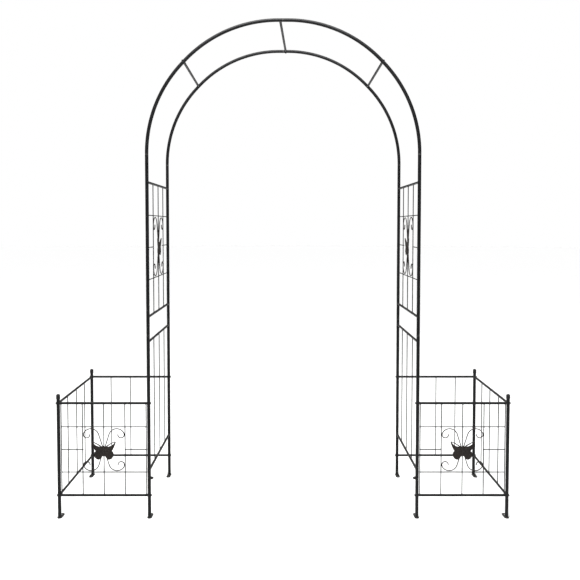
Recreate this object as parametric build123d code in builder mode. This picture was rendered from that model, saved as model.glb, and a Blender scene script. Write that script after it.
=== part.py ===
from build123d import *
from math import asin, atan2, cos, degrees, hypot, radians, sin, sqrt
import os

# A free-standing garden arch of black powder-coated steel tube with a planter box on each side.
# X runs across the archway, Y from the front hoop to the rear hoop and Z up. The origin is on
# the ground, in the middle of the archway. All sizes are in millimetres.

# Overall sizes
overall_height = 2030  # ground to the top of the hoops
arch_width = 1100  # leg centre to leg centre across the archway
depth = 500  # front tube centre to rear tube centre
box_length = 370  # leg centre to post centre

# Stock
tube_diameter = 14  # hoops, legs and posts
tube_wall = 1
rail_share = 5 / 7  # panel rails' and crossbars' diameter, as a share of the tube's
rail_wall = 1
wire_diameter = 4
weld_sink = 0.4  # how far two welded wires settle into each other

# Tube joints: the end of one tube is swaged down and slides into the next
joint_overlap = 35
crown_overlap = 19
joint_gap = 0.1  # clearance all round a swaged end
swage_neck = 3  # length over which a tube closes down to its swaged end
leg_split_height = 756  # where an upper leg plugs into a lower leg
post_height = 508  # ground to the top of a post, inside its cap

# Heights of the rail centres
upper_panel_rails = (830, 1378)
lower_panel_rails = (199, 728)
box_rails = (95, 477)

# Ornament: a butterfly between four scrolls, framed by three cross wires
edge_wire_offset = 11  # tube centre to edge wire centre
upper_ornament_height = 1112
upper_cross_spacing = 133
box_ornament_height = 284
box_cross_spacing = 94
scroll_clearance = 5  # from the top of a scroll to the cross wire above it
scroll_start = 8  # height of a scroll's inner end above the middle cross wire
butterfly_thickness = 3
butterfly_body_diameter = 7

# Crossbars between the hoops. A hoop is straight for a short way where a crossbar meets it.
side_bar_angle = 44  # above the spring line
side_flat = 14
crown_flat = 20  # each side of the crown joint
crown_bar_offset = 12  # from the crown joint, on the outer tube of the joint
bar_spigot_share = 0.7  # swaged ends' diameter, as a share of the crossbar's
bar_spigot_reach_share = 0.36  # how far they pass the hoop's centre line, of its tube's radius
bar_hole_gap = 0.1

# Screws
box_screw_diameter = 5
box_screw_head = (9, 3.5)  # diameter, height
box_screw_grip = 12  # length inside the tapped end of a rail
bar_screw_diameter = 4
bar_screw_head = (8, 2.5)
bar_screw_reach_share = 0.5  # past the centre of the bar, of the hoop tube's radius
screw_hole_gap = 0.2
thread_gap = 0.05
clamp_screw_height = 167  # on the inner side of each front leg
clamp_screw_diameter = 6
clamp_screw_reach = 4  # inside the leg's bore
clamp_nut_flats = 10
clamp_nut_height = 5
clamp_nut_dome = 8.6  # diameter
clamp_washer = (12.5, 1.5)  # diameter, thickness

# Post caps
cap_wall = 1.2
cap_gap = 0.1
cap_skirt = 12  # how far a cap comes down over its post
cap_dome = 6  # height of the domed top

# Foot plates
foot_length = 52
foot_width = 19
foot_thickness = 3
foot_heel = 10  # from the tube centre to the end of the plate behind it
foot_hole_diameter = 9
foot_hole_offset = 29  # from the tube centre to the stake hole

# Derived
leg_x = arch_width / 2
post_x = leg_x + box_length
side_bar_normal = Vector(cos(radians(side_bar_angle)), 0, sin(radians(side_bar_angle)))
side_bar_along = Vector(-sin(radians(side_bar_angle)), 0, cos(radians(side_bar_angle)))
bend_radius = leg_x - crown_flat + side_flat * side_bar_along.X
crown_height = overall_height - tube_diameter / 2
spring_height = crown_height - bend_radius - side_flat * side_bar_along.Z
tube_bore = tube_diameter - 2 * tube_wall
spigot_diameter = tube_bore - 2 * joint_gap
spigot_bore = spigot_diameter - 2 * tube_wall
leg_top = spring_height - swage_neck
rail_diameter = tube_diameter * rail_share
rail_bore = rail_diameter - 2 * rail_wall
bar_spigot_diameter = rail_diameter * bar_spigot_share
bar_spigot_reach = tube_diameter / 2 * bar_spigot_reach_share
bar_screw_reach = tube_diameter / 2 * bar_screw_reach_share
bar_spigot_bore = bar_spigot_diameter - 2 * rail_wall
wire_layer = wire_diameter - weld_sink  # between the centres of two wires welded side by side
fronts = (("front", -depth / 2), ("rear", depth / 2))
sides = (("left", -1), ("right", 1))

# Each crossbar: where it meets the front hoop's centre line and the rear hoop's, seen from the
# front, the way out from the hoop there, and whether its screws come from outside (1) or
# inside (-1)
bar_bend = Vector(leg_x - bend_radius, 0, spring_height) + side_bar_normal * bend_radius
right_bar = bar_bend + side_bar_along * (side_flat / 2)
left_bar = Vector(-right_bar.X, 0, right_bar.Z)
crown_bar_front = Vector(-crown_bar_offset, 0, crown_height)
crown_bar_rear = Vector(crown_bar_offset, 0, crown_height)
left_bar_normal = Vector(-side_bar_normal.X, 0, side_bar_normal.Z)
crossbars = {
    "crossbar_left": (left_bar, left_bar, left_bar_normal, 1),
    "crossbar_crown": (crown_bar_front, crown_bar_rear, Vector(0, 0, 1), -1),
    "crossbar_right": (right_bar, right_bar, side_bar_normal, 1),
}

os.makedirs("parts", exist_ok=True)


def save(piece, name):
    """Label a finished piece and write it under its own name."""
    piece.part.label = name
    export_step(piece.part, f"parts/{name}.step")


def round_bar(start, end, diameter, mode=Mode.ADD):
    """A straight round bar between two points, in the part being built."""
    run = Vector(*end) - Vector(*start)
    with Locations(Plane(origin=start, z_dir=run)):
        Cylinder(diameter / 2, run.length, align=(Align.CENTER, Align.CENTER, Align.MIN), mode=mode)


def ring(plane, outer, bore):
    """The cross section of a tube."""
    with BuildSketch(plane) as section:
        Circle(outer / 2)
        if bore:
            Circle(bore / 2, mode=Mode.SUBTRACT)
    return section.sketch


def straight_tube(start, end, outer, bore):
    """A straight tube between two points, in the part being built. An upright one has its seam
    on a corner, clear of the screw holes."""
    run = Vector(*end) - Vector(*start)
    seam = (1, 1, 0) if run.X == run.Y == 0 else None
    extrude(ring(Plane(origin=start, x_dir=seam, z_dir=run), outer, bore), amount=run.length)


def bar_ends(front_place, rear_place):
    """The two ends of a crossbar's centre line, on the hoops' centre lines."""
    return front_place - Vector(0, depth / 2, 0), rear_place + Vector(0, depth / 2, 0)


def make_crossbar_holes(y):
    """The holes that a hoop has for the crossbars' spigots and their screws, as solids."""
    with BuildPart() as holes:
        for front_place, rear_place, normal, outward in crossbars.values():
            front_end, rear_end = bar_ends(front_place, rear_place)
            here, there = (front_end, rear_end) if y < 0 else (rear_end, front_end)
            along = (there - here).normalized()
            round_bar(here, here + along * tube_diameter, bar_spigot_diameter + 2 * bar_hole_gap)
            round_bar(here, here + normal * outward * tube_diameter,
                      bar_screw_diameter + 2 * screw_hole_gap)
    return holes.part


def cut_box_screw_holes(x, y):
    """The holes through a leg or post for the screws of a planter box panel."""
    for height in box_rails:
        round_bar((x - tube_diameter, y, height), (x + tube_diameter, y, height),
                  box_screw_diameter + 2 * screw_hole_gap, Mode.SUBTRACT)


def plan_point(start, end, reach):
    """A point in plan, a reach from start towards end."""
    share = reach / hypot(end[0] - start[0], end[1] - start[1])
    return start[0] + (end[0] - start[0]) * share, start[1] + (end[1] - start[1]) * share


def make_rails(name, start, end, heights, tapped):
    """The two rails of a panel between the tubes at two points in plan, their ends shaped to
    the tubes. Tapped rails have thick ends that take the panel's screws."""
    length = hypot(end[0] - start[0], end[1] - start[1])
    with BuildPart() as rails:
        for height in heights:
            round_bar((*start, height), (*end, height), rail_diameter)
            if tapped:
                thick = tube_diameter / 2 + box_screw_grip
                bore_start = plan_point(start, end, thick)
                bore_end = plan_point(start, end, length - thick)
                round_bar((*start, height), (*end, height), box_screw_diameter, Mode.SUBTRACT)
            else:
                bore_start, bore_end = start, end
            round_bar((*bore_start, height), (*bore_end, height), rail_bore, Mode.SUBTRACT)
            for x, y in (start, end):
                round_bar((x, y, height - rail_diameter), (x, y, height + rail_diameter),
                          tube_diameter, Mode.SUBTRACT)
    save(rails, f"{name}_rails")


def make_uprights(start, end, reaches, heights):
    """The upright wires of a panel, their ends shaped to the rails that they are welded to."""
    low, high = heights
    with BuildPart() as uprights:
        for reach in reaches:
            foot = plan_point(start, end, reach)
            round_bar((*foot, low), (*foot, high), wire_diameter)
        for height in heights:
            round_bar((*start, height), (*end, height), rail_diameter, Mode.SUBTRACT)
    return uprights


def make_plain_panel(name, start, end, heights, tapped):
    """A panel of two rails and three upright wires at its quarter points."""
    length = hypot(end[0] - start[0], end[1] - start[1])
    make_rails(name, start, end, heights, tapped)
    uprights = make_uprights(start, end, [length * share for share in (0.25, 0.5, 0.75)], heights)
    save(uprights, f"{name}_wires")


def make_scrolls(face, bay, cross_spacing, uprights):
    """Four scrolls in the plane of the upright wires. Each leaves the middle wire beside the
    butterfly, turns over below a cross wire and curls in against the next upright."""
    outermost = bay - wire_layer
    top = cross_spacing - wire_diameter / 2 - scroll_clearance
    crown_radius = 0.4 * outermost
    shoulder_radius = 0.24 * outermost
    curl_radius = 0.155 * outermost
    crown_turn = 50
    curl_turn = 190
    fall = sin(radians(crown_turn))
    peak = outermost - crown_radius * fall - shoulder_radius * (1 - fall)
    # The straight run starts beside the middle wire and is tangent to the crown's arc.
    to_centre = (peak - wire_layer, top - crown_radius - scroll_start)
    distance = hypot(*to_centre)
    heading = atan2(to_centre[1], to_centre[0]) + asin(crown_radius / distance)
    run = sqrt(distance**2 - crown_radius**2)
    direction = (cos(heading), sin(heading))
    with BuildPart() as scrolls:
        with BuildLine(face) as path:
            start = (wire_layer, scroll_start)
            stem = Line(start, (start[0] + run * direction[0], start[1] + run * direction[1]))
            crown = JernArc(stem @ 1, direction, crown_radius, -degrees(heading) - crown_turn)
            below = (cos(radians(crown_turn)), -sin(radians(crown_turn)))
            shoulder = JernArc(crown @ 1, below, shoulder_radius, crown_turn - 90)
            JernArc(shoulder @ 1, (0, -1), curl_radius, -curl_turn)
        with BuildSketch(Plane(origin=path.line @ 0, z_dir=path.line % 0)):
            Circle(wire_diameter / 2)
        sweep(path=path.line)
        mirror(about=Plane(origin=face.origin, z_dir=face.x_dir))
        mirror(about=Plane(origin=face.origin, z_dir=(0, 0, 1)))
        add(uprights.part, mode=Mode.SUBTRACT)
    return scrolls


def make_butterfly(face, uprights, scrolls):
    """A flat butterfly with open upper wings and a round body, seated on the middle wire and on
    the scrolls' inner ends."""
    back = wire_diameter / 2 - weld_sink
    middle = back + butterfly_thickness / 2
    with BuildPart() as butterfly:
        with BuildSketch(face.offset(back)):
            with BuildLine():
                Line((0, 12), (5, 12))
                Bezier((5, 12), (16, 22), (34, 34), (49, 35))
                Bezier((49, 35), (50, 22), (42, 6), (33, -4))
                Bezier((33, -4), (46, -12), (40, -38), (23, -40))
                Bezier((23, -40), (13, -41), (8, -27), (0, -22))
                mirror(about=Plane.YZ)
            make_face()
            for hand in (1, -1):
                with BuildLine():
                    Bezier((16 * hand, 14), (24 * hand, 21), (36 * hand, 30), (44 * hand, 31.5))
                    Bezier((44 * hand, 31.5), (41 * hand, 25), (30 * hand, 17), (16 * hand, 14))
                make_face(mode=Mode.SUBTRACT)
        extrude(amount=butterfly_thickness)
        tail = face.from_local_coords((0, -20, middle))
        neck = face.from_local_coords((0, 10, middle))
        round_bar(tail, neck, butterfly_body_diameter)
        with Locations(tail, neck, face.from_local_coords((0, 15, middle))):
            Sphere(butterfly_body_diameter / 2)
        add(uprights.part, mode=Mode.SUBTRACT)
        add(scrolls.part, mode=Mode.SUBTRACT)
    return butterfly


def make_ornament_panel(name, start, end, heights, tapped, ornament_height, cross_spacing, outward):
    """A panel with edge wires, cross wires, scrolls and a butterfly on the face that outward
    points from."""
    length = hypot(end[0] - start[0], end[1] - start[1])
    bay = (length - 2 * edge_wire_offset) / 4
    reaches = [edge_wire_offset + bay * count for count in range(5)]
    make_rails(name, start, end, heights, tapped)
    uprights = make_uprights(start, end, reaches, heights)

    # The cross wires lie behind the uprights. The middle one is left out behind the butterfly.
    back = -wire_layer * Vector(*outward)
    end_margin = wire_diameter / 2
    spans = {
        ornament_height + cross_spacing: [(reaches[0], reaches[4])],
        ornament_height: [(reaches[0], reaches[1]), (reaches[3], reaches[4])],
        ornament_height - cross_spacing: [(reaches[0], reaches[4])],
    }
    with BuildPart() as cross_wires:
        for height, pieces in spans.items():
            for first, last in pieces:
                from_end = Vector(*plan_point(start, end, first - end_margin), height) + back
                to_end = Vector(*plan_point(start, end, last + end_margin), height) + back
                round_bar(from_end, to_end, wire_diameter)
        add(uprights.part, mode=Mode.SUBTRACT)

    middle = plan_point(start, end, length / 2)
    face = Plane(
        origin=(*middle, ornament_height),
        x_dir=Vector(0, 0, 1).cross(Vector(*outward)),
        z_dir=outward,
    )
    scrolls = make_scrolls(face, bay, cross_spacing, uprights)
    butterfly = make_butterfly(face, uprights, scrolls)
    save(uprights, f"{name}_upright_wires")
    save(cross_wires, f"{name}_cross_wires")
    save(scrolls, f"{name}_scrolls")
    save(butterfly, f"{name}_butterfly")


def add_screw(seat, direction, head, shank_diameter, shank_length):
    """A round-headed screw, in the part being built, with its head's underside at the seat and
    its shank in the direction given."""
    head_diameter, head_height = head
    along = Vector(*direction)
    round_bar(Vector(*seat) - along * head_height, seat, head_diameter)
    round_bar(seat, Vector(*seat) + along * shank_length, shank_diameter - 2 * thread_gap)


# Hoops. The quarter tube on the left at the front, and on the right at the rear, is the outer
# one of the crown joint, so the two hoops are one hoop and the same hoop turned round.
for front_name, y in fronts:
    crossbar_holes = make_crossbar_holes(y)
    for side_name, side in sides:
        plugs_in = side * y < 0
        x = side * leg_x
        wall_end = swage_neck if plugs_in else 0
        with BuildPart() as arch_quarter:
            straight_tube((x, y, leg_top - joint_overlap), (x, y, leg_top), spigot_diameter, spigot_bore)
            straight_tube((x, y, leg_top), (x, y, spring_height), tube_diameter, spigot_bore)
            with BuildLine(Plane(origin=(0, y, 0), x_dir=(side, 0, 0), z_dir=(0, -side, 0))) as path:
                lower = JernArc((leg_x, spring_height), (0, 1), bend_radius, side_bar_angle)
                flat = PolarLine(lower @ 1, side_flat, direction=lower % 1)
                upper = JernArc(flat @ 1, flat % 1, bend_radius, 90 - side_bar_angle)
                PolarLine(upper @ 1, crown_flat - wall_end, direction=upper % 1)
            with BuildSketch(Plane(origin=(x, y, spring_height), x_dir=(1, 1, 0), z_dir=(0, 0, 1))):
                Circle(tube_diameter / 2)
                Circle(tube_bore / 2, mode=Mode.SUBTRACT)
            sweep(path=path.line)
            if plugs_in:
                crown = (0, y, crown_height)
                straight_tube((side * wall_end, y, crown_height), crown, tube_diameter, spigot_bore)
                straight_tube(crown, (-side * crown_overlap, y, crown_height),
                              spigot_diameter, spigot_bore)
            add(crossbar_holes, mode=Mode.SUBTRACT)
        save(arch_quarter, f"arch_quarter_{front_name}_{side_name}")

# Legs and posts. The front legs have a clamp screw in their inner wall.
for front_name, y in fronts:
    for side_name, side in sides:
        x = side * leg_x
        tip, shoulder = leg_split_height - joint_overlap, leg_split_height + swage_neck
        with BuildPart() as upper_leg:
            straight_tube((x, y, tip), (x, y, leg_split_height), spigot_diameter, spigot_bore)
            straight_tube((x, y, leg_split_height), (x, y, shoulder), tube_diameter, spigot_bore)
            straight_tube((x, y, shoulder), (x, y, leg_top), tube_diameter, tube_bore)
        save(upper_leg, f"upper_leg_{front_name}_{side_name}")

        with BuildPart() as lower_leg:
            straight_tube((x, y, foot_thickness), (x, y, leg_split_height), tube_diameter, tube_bore)
            cut_box_screw_holes(x, y)
            if front_name == "front":
                round_bar((x, y, clamp_screw_height), (x - side * tube_diameter, y, clamp_screw_height),
                          clamp_screw_diameter, Mode.SUBTRACT)
        save(lower_leg, f"lower_leg_{front_name}_{side_name}")

        x = side * post_x
        with BuildPart() as post:
            straight_tube((x, y, foot_thickness), (x, y, post_height), tube_diameter, tube_bore)
            cut_box_screw_holes(x, y)
        save(post, f"post_{front_name}_{side_name}")

        # The cap is a cup that sits on the post's end, with a domed top.
        cap_bore = tube_diameter / 2 + cap_gap
        cap_radius = cap_bore + cap_wall
        rim = post_height - cap_skirt
        shoulder = post_height + cap_wall
        dome_radius = (cap_radius**2 + cap_dome**2) / (2 * cap_dome)
        with BuildPart() as post_cap:
            with BuildSketch(Plane(origin=(x, y, 0), x_dir=(1, 0, 0), z_dir=(0, -1, 0))):
                with BuildLine():
                    Polyline((0, post_height), (cap_bore, post_height), (cap_bore, rim),
                             (cap_radius, rim), (cap_radius, shoulder))
                    RadiusArc((cap_radius, shoulder), (0, shoulder + cap_dome), -dome_radius)
                    Line((0, shoulder + cap_dome), (0, post_height))
                make_face()
            revolve(axis=Axis((x, y, 0), (0, 0, 1)))
        save(post_cap, f"post_cap_{front_name}_{side_name}")

# Crossbars. Both ends are swaged down to a spigot that enters the hoop tube, and a screw holds
# each spigot across.
with BuildPart() as crossbar_screws:
    for front_place, rear_place, normal, outward in crossbars.values():
        for end in bar_ends(front_place, rear_place):
            way_in = normal * -outward
            add_screw(end - way_in * tube_diameter / 2, way_in, bar_screw_head,
                      bar_screw_diameter, tube_diameter / 2 + bar_screw_reach)
save(crossbar_screws, "crossbar_screws")

for name, (front_place, rear_place, normal, outward) in crossbars.items():
    front_end, rear_end = bar_ends(front_place, rear_place)
    along = (rear_end - front_end).normalized()
    neck = along * (tube_diameter / 2 + swage_neck)
    reach = along * bar_spigot_reach
    flat_way = normal.cross(Vector(0, 1, 0)) * rail_diameter
    with BuildPart() as crossbar:
        straight_tube(front_end + neck, rear_end - neck, rail_diameter, rail_bore)
        for end, inward in ((front_end, 1), (rear_end, -1)):
            straight_tube(end, end + neck * inward, rail_diameter, bar_spigot_bore)
            round_bar(end - flat_way, end + flat_way, tube_diameter, Mode.SUBTRACT)
        for end, inward in ((front_end, 1), (rear_end, -1)):
            straight_tube(end - reach * inward, end + neck * inward,
                          bar_spigot_diameter, bar_spigot_bore)
            across = normal * tube_diameter / 2
            round_bar(end - across, end + across, bar_screw_diameter, Mode.SUBTRACT)
    save(crossbar, name)

# Panels
for side_name, side in sides:
    leg_front, leg_rear = (side * leg_x, -depth / 2), (side * leg_x, depth / 2)
    post_front, post_rear = (side * post_x, -depth / 2), (side * post_x, depth / 2)
    make_ornament_panel(f"upper_side_panel_{side_name}", leg_front, leg_rear, upper_panel_rails, False,
                        upper_ornament_height, upper_cross_spacing, (-side, 0, 0))
    make_plain_panel(f"lower_side_panel_{side_name}", leg_front, leg_rear, lower_panel_rails, False)
    make_plain_panel(f"box_outer_panel_{side_name}", post_front, post_rear, box_rails, False)
    make_plain_panel(f"box_rear_panel_{side_name}", leg_rear, post_rear, box_rails, True)
    make_ornament_panel(f"box_front_panel_{side_name}", leg_front, post_front, box_rails, True,
                        box_ornament_height, box_cross_spacing, (0, -1, 0))

# The screws of the boxes' front and rear panels, through the legs from the archway side and
# through the posts from outside
with BuildPart() as box_screws:
    for side_name, side in sides:
        for front_name, y in fronts:
            for x, direction in ((side * leg_x, side), (side * post_x, -side)):
                for height in box_rails:
                    add_screw((x - direction * tube_diameter / 2, y, height), (direction, 0, 0),
                              box_screw_head, box_screw_diameter, tube_diameter + box_screw_grip)
save(box_screws, "box_screws")

# The clamp screws: a domed nut and a washer outside, a threaded stub in the leg's wall
with BuildPart() as clamp_screws:
    for side_name, side in sides:
        inner_face = side * (leg_x - tube_diameter / 2)
        facing = Plane(origin=(inner_face, -depth / 2, clamp_screw_height), z_dir=(-side, 0, 0))
        washer_diameter, washer_thickness = clamp_washer
        with BuildSketch(facing):
            Circle(washer_diameter / 2)
        extrude(amount=washer_thickness)
        with BuildSketch(facing.offset(washer_thickness)):
            RegularPolygon(clamp_nut_flats / 2, 6, major_radius=False)
        extrude(amount=clamp_nut_height)
        with Locations(facing.offset(washer_thickness + clamp_nut_height)):
            Sphere(clamp_nut_dome / 2)
        stub = inner_face + side * (tube_wall + clamp_screw_reach)
        round_bar((inner_face, -depth / 2, clamp_screw_height), (stub, -depth / 2, clamp_screw_height),
                  clamp_screw_diameter - 2 * thread_gap)
save(clamp_screws, "front_leg_clamp_screws")

# Foot plates, one under each leg and post, pointing in under the arch with a hole for a stake
for plate_name, plate_x in (("leg_foot_plates", leg_x), ("post_foot_plates", post_x)):
    with BuildPart() as foot_plates:
        for side_name, side in sides:
            for front_name, y in fronts:
                inward = 1 if y < 0 else -1
                middle = y + inward * (foot_length / 2 - foot_heel)
                with BuildSketch(Plane(origin=(side * plate_x, middle, 0))):
                    SlotOverall(foot_length, foot_width, rotation=90)
                    with Locations((0, inward * (foot_hole_offset + foot_heel - foot_length / 2))):
                        Circle(foot_hole_diameter / 2, mode=Mode.SUBTRACT)
                extrude(amount=foot_thickness)
    save(foot_plates, plate_name)
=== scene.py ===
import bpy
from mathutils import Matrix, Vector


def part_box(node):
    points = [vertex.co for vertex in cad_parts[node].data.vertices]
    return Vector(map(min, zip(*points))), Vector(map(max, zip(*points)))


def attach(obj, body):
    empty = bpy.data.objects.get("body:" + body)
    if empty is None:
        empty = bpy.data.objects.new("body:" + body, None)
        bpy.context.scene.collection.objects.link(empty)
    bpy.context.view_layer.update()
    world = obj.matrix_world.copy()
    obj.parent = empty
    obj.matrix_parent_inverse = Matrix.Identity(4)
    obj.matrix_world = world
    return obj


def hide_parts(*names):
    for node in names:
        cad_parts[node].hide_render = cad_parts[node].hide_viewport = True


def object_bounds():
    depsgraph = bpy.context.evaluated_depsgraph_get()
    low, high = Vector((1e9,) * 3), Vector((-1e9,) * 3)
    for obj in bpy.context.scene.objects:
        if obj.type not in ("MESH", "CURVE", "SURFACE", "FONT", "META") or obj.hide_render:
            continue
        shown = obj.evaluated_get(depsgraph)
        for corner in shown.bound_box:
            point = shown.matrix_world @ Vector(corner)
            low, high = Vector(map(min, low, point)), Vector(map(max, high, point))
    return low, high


bl_info = {
    "name": "Garden Arch",
    "version": (1, 0, 0),
    "blender": (4, 5, 0),
    "location": "View3D > Sidebar > Garden Arch",
    "description": "Builds a steel garden arch with wire panels, butterflies, scrolls and two planter boxes",
    "category": "Add Mesh",
}

from math import asin, atan2, cos, exp, hypot, pi, radians, sin, sqrt

import bmesh
import bpy
from bpy.props import FloatProperty, FloatVectorProperty, PointerProperty
from mathutils import Vector

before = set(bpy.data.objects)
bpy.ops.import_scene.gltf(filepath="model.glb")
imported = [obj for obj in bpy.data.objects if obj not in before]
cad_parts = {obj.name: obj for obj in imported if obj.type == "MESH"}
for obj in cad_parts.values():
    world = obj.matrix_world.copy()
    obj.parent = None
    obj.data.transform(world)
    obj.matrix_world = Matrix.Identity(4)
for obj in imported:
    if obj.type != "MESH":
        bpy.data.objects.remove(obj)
cad_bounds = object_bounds()

# Lengths are in metres. What isn't here is read from the frame's own pieces.
MM = 0.001
HOOP_CROWN_FLAT = 20 * MM  # straight length each side of the crown joint
HOOP_SIDE_FLAT = 14 * MM  # straight length where a side bar meets a hoop
SIDE_BAR_ANGLE = radians(44)
CROWN_BAR_OFFSET = 12 * MM
WELD_SINK = 0.4 * MM
CLAMP_HEIGHT = 167 * MM
SCROLL_START = 8 * MM
SCROLL_CLEARANCE = 5 * MM
WEAR_FADE = 3 * MM  # how far wear reaches from a tube's end
END_SINK = 3.5 * MM  # from a tube's centre line to the end of a bar or rail that meets it
BOX_SCREW_HEAD = (4.5 * MM, 3.4 * MM)  # radius, height
BAR_SCREW_HEAD = (4 * MM, 2.5 * MM)
NUT_HALF_FLATS = 5 * MM
CAP_DOME = 6 * MM  # height of a post cap's domed top
FOOT_LENGTH = 52 * MM
FOOT_WIDTH = 19 * MM
FOOT_EDGE = 0.5 * MM
FOOT_HOLE_RADIUS = 4.5 * MM
FOOT_HOLE_ALONG = 13 * MM  # from the middle of the plate to the stake hole
BODY_RADIUS = 3.5 * MM  # of a butterfly
BODY_OUT = 1.6 * MM  # from the wings' seat to the body's axis
UPPER_WING_OUT = 0.5 * MM  # the upper wings lie this far over the lower ones
BAR_EDGE = 0.5 * MM  # rounding of the ends of rails, crossbars and cross wires
UPRIGHT_EDGE = 0.3 * MM
FLOOR_RADIUS = 40
CAMERA_SHIFT = (0.0118, -0.0597)
SIDES = (("left", -1), ("right", 1))
FRONTS = (("front", -1), ("rear", 1))
CORNERS = [(front, facing, name, side) for front, facing in FRONTS for name, side in SIDES]


# ---------------------------------------------------------------- reading the frame


def middle_of(node):
    """The middle of a node's box."""
    low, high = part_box(node)
    return (low + high) / 2


def tube_radius():
    """The radius of the hoops', legs' and posts' tube."""
    low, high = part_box("lower_leg_front_left")
    return (high.x - low.x) / 2


def upright_line(node):
    """The lower and upper end of an upright tube's centre line."""
    low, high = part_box(node)
    middle = (low + high) / 2
    return Vector((middle.x, middle.y, low.z)), Vector((middle.x, middle.y, high.z))


class Panel:
    """Where the rails and wires of one panel run."""

    def __init__(self, name, ornament):
        low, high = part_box(f"{name}_rails")
        self.name = name
        self.along = 1 if high.y - low.y > high.x - low.x else 0
        across = 1 - self.along
        self.rail = (high[across] - low[across]) / 2
        self.heights = (low.z + self.rail, high.z - self.rail)
        self.across = (low[across] + high[across]) / 2
        seat = sqrt(tube_radius() ** 2 - self.rail**2)
        self.ends = (low[self.along] - seat, high[self.along] + seat)
        wires = f"{name}_upright_wires" if ornament else f"{name}_wires"
        low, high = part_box(wires)
        self.wire = (high[across] - low[across]) / 2
        first, last = low[self.along] + self.wire, high[self.along] - self.wire
        count = 5 if ornament else 3
        self.uprights = [first + (last - first) * i / (count - 1) for i in range(count)]

    def point(self, along, height, out=0.0):
        """A point in the panel, moved out from its middle plane."""
        place = [0.0, 0.0, height]
        place[self.along] = along
        place[1 - self.along] = self.across + out
        return Vector(place)

    def run(self):
        """The direction that the rails run in."""
        return Vector((0, 1, 0)) if self.along else Vector((1, 0, 0))


# ---------------------------------------------------------------- mesh tools


def skin(bm, loops, wear=None, joined=False):
    """Faces between neighbouring loops of points. A loop of one point closes an end. wear holds
    one number for each loop, or one for each of its points."""
    layer = bm.verts.layers.float.get("wear") or bm.verts.layers.float.new("wear")
    rows = []
    for index, loop in enumerate(loops):
        row = [bm.verts.new(point) for point in loop]
        worn = wear[index] if wear else 0.0
        for spot, vert in enumerate(row):
            vert[layer] = worn[spot] if isinstance(worn, (list, tuple)) else worn
        rows.append(row)
    pairs = list(zip(rows, rows[1:]))
    if joined:
        pairs.append((rows[-1], rows[0]))
    for first, second in pairs:
        count = max(len(first), len(second))
        for i in range(count):
            j = (i + 1) % count
            if len(first) == 1:
                bm.faces.new((first[0], second[i], second[j]))
            elif len(second) == 1:
                bm.faces.new((first[i], second[0], first[j]))
            else:
                bm.faces.new((first[i], second[i], second[j], first[j]))


def directions_across(points, closed=False):
    """Two directions across a line at each of its points, turning as little as they can."""
    count = len(points)
    headings = []
    for i in range(count):
        before = points[i - 1] if closed or i else points[i]
        after = points[(i + 1) % count] if closed or i < count - 1 else points[i]
        headings.append((after - before).normalized())
    side = headings[0].orthogonal().normalized()
    found = []
    for heading in headings:
        side = (side - heading * side.dot(heading)).normalized()
        found.append((side, heading.cross(side), heading))
    return found


def circle(centre, first, second, radius, sides):
    """The points of a circle."""
    step = 2 * pi / sides
    return [
        centre + (first * cos(step * i) + second * sin(step * i)) * radius for i in range(sides)
    ]


def add_rod(bm, points, radius, sides, edge, wear=1.0):
    """A round rod or tube along a line. Its ends are rounded, and their wear fades over a few
    millimetres."""
    frames = directions_across(points)
    turns = [radians(turn) for turn in (0, 30, 60, 90)]
    loops, worn = [[points[0]]], [wear]
    first, second, heading = frames[0]
    for turn in reversed(turns):
        centre = points[0] + heading * edge * (1 - sin(turn))
        loops.append(circle(centre, first, second, radius - edge * (1 - cos(turn)), sides))
        worn.append(wear)
    fade = edge + WEAR_FADE
    if (points[1] - points[0]).length > fade:
        loops.append(circle(points[0] + heading * fade, first, second, radius, sides))
        worn.append(0.0)
    for point, (first, second, heading) in list(zip(points, frames))[1:-1]:
        loops.append(circle(point, first, second, radius, sides))
        worn.append(0.0)
    first, second, heading = frames[-1]
    if (points[-1] - points[-2]).length > fade:
        loops.append(circle(points[-1] - heading * fade, first, second, radius, sides))
        worn.append(0.0)
    for turn in turns:
        centre = points[-1] - heading * edge * (1 - sin(turn))
        loops.append(circle(centre, first, second, radius - edge * (1 - cos(turn)), sides))
        worn.append(wear)
    loops.append([points[-1]])
    worn.append(wear)
    skin(bm, loops, worn)


def add_turned(bm, origin, axis, profile, sides, shape=None):
    """A turned piece. profile lists (radius, height, wear) from one end of the axis to the
    other, and shape gives the reach for a radius and an angle where it isn't round."""
    first = axis.orthogonal().normalized()
    second = axis.cross(first)
    loops, worn = [], []
    for radius, height, wear in profile:
        centre = origin + axis * height
        if radius == 0:
            loops.append([centre])
            worn.append(wear)
            continue
        loop, spots = [], []
        for i in range(sides):
            angle = 2 * pi * i / sides
            reach = shape(radius, angle) if shape else radius
            loop.append(centre + (first * cos(angle) + second * sin(angle)) * reach)
            spots.append(wear if reach > radius * 0.93 else wear * 0.3)
        loops.append(loop)
        worn.append(spots)
    skin(bm, loops, worn)


def add_bead(bm, path, size, seed=0.0):
    """A closed weld bead along a loop of points, slightly rippled like real ones."""
    frames = directions_across(path, closed=True)
    loops, worn = [], []
    for index, (point, (first, second, _)) in enumerate(zip(path, frames)):
        turn = 2 * pi * index / len(path)
        swell = 1 + 0.13 * sin(5 * turn + seed) + 0.09 * sin(9 * turn + 2.3 * seed)
        loops.append(circle(point, first, second, size * swell, 8))
        worn.append(0.35 + 0.35 * sin(5 * turn + seed))
    skin(bm, loops, worn, joined=True)


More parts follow.
